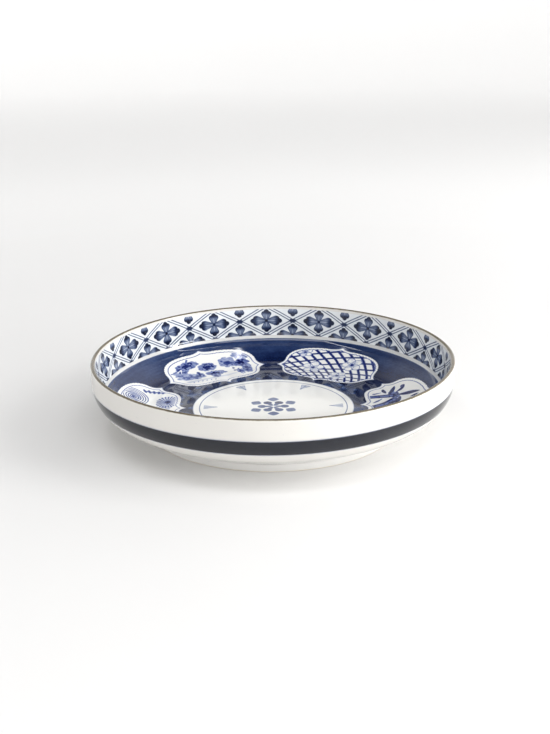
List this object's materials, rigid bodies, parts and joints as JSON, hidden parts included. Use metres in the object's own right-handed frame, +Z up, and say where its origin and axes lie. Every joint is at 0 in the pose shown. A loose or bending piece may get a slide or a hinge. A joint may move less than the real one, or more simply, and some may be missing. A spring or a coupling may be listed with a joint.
{
  "type": "porcelain serving bowl",
  "caption": "Shallow round porcelain serving bowl with an upright wall, a flat floor, a low foot ring and blue painted fields inside and out.",
  "frame": {"origin": "centre of the foot ring's resting plane", "axes": "+Z up along the axis of the bowl, +Y away from the viewer of the reference side, +X to that viewer's right"},
  "size_m": [0.25, 0.25, 0.05],
  "materials": {
    "white_porcelain": "clear gloss glaze over white porcelain",
    "foot_porcelain": "gloss glaze with a bare resting edge",
    "lip_iron_glaze": "thin iron-brown glaze",
    "cobalt_band": "dark cobalt brushed band under gloss glaze",
    "frieze_painting": "cobalt lattice and flowers on white under gloss glaze",
    "cobalt_ground": "cobalt wash under gloss glaze",
    "panel_painting": "cobalt brush painting on white under gloss glaze",
    "medallion_painting": "white with a small cobalt motif under gloss glaze"
  },
  "bodies": {
    "root": {"bowl_body": "white_porcelain", "foot_ring": "foot_porcelain", "lip_glaze_band": "lip_iron_glaze", "outer_blue_band": "cobalt_band", "inner_frieze": "frieze_painting", "well_ground": "cobalt_ground", "centre_medallion": "medallion_painting", "panel_1": "panel_painting", "panel_2": "panel_painting", "panel_3": "panel_painting", "panel_4": "panel_painting", "panel_5": "panel_painting", "panel_6": "panel_painting"}
  },
  "joints": []
}
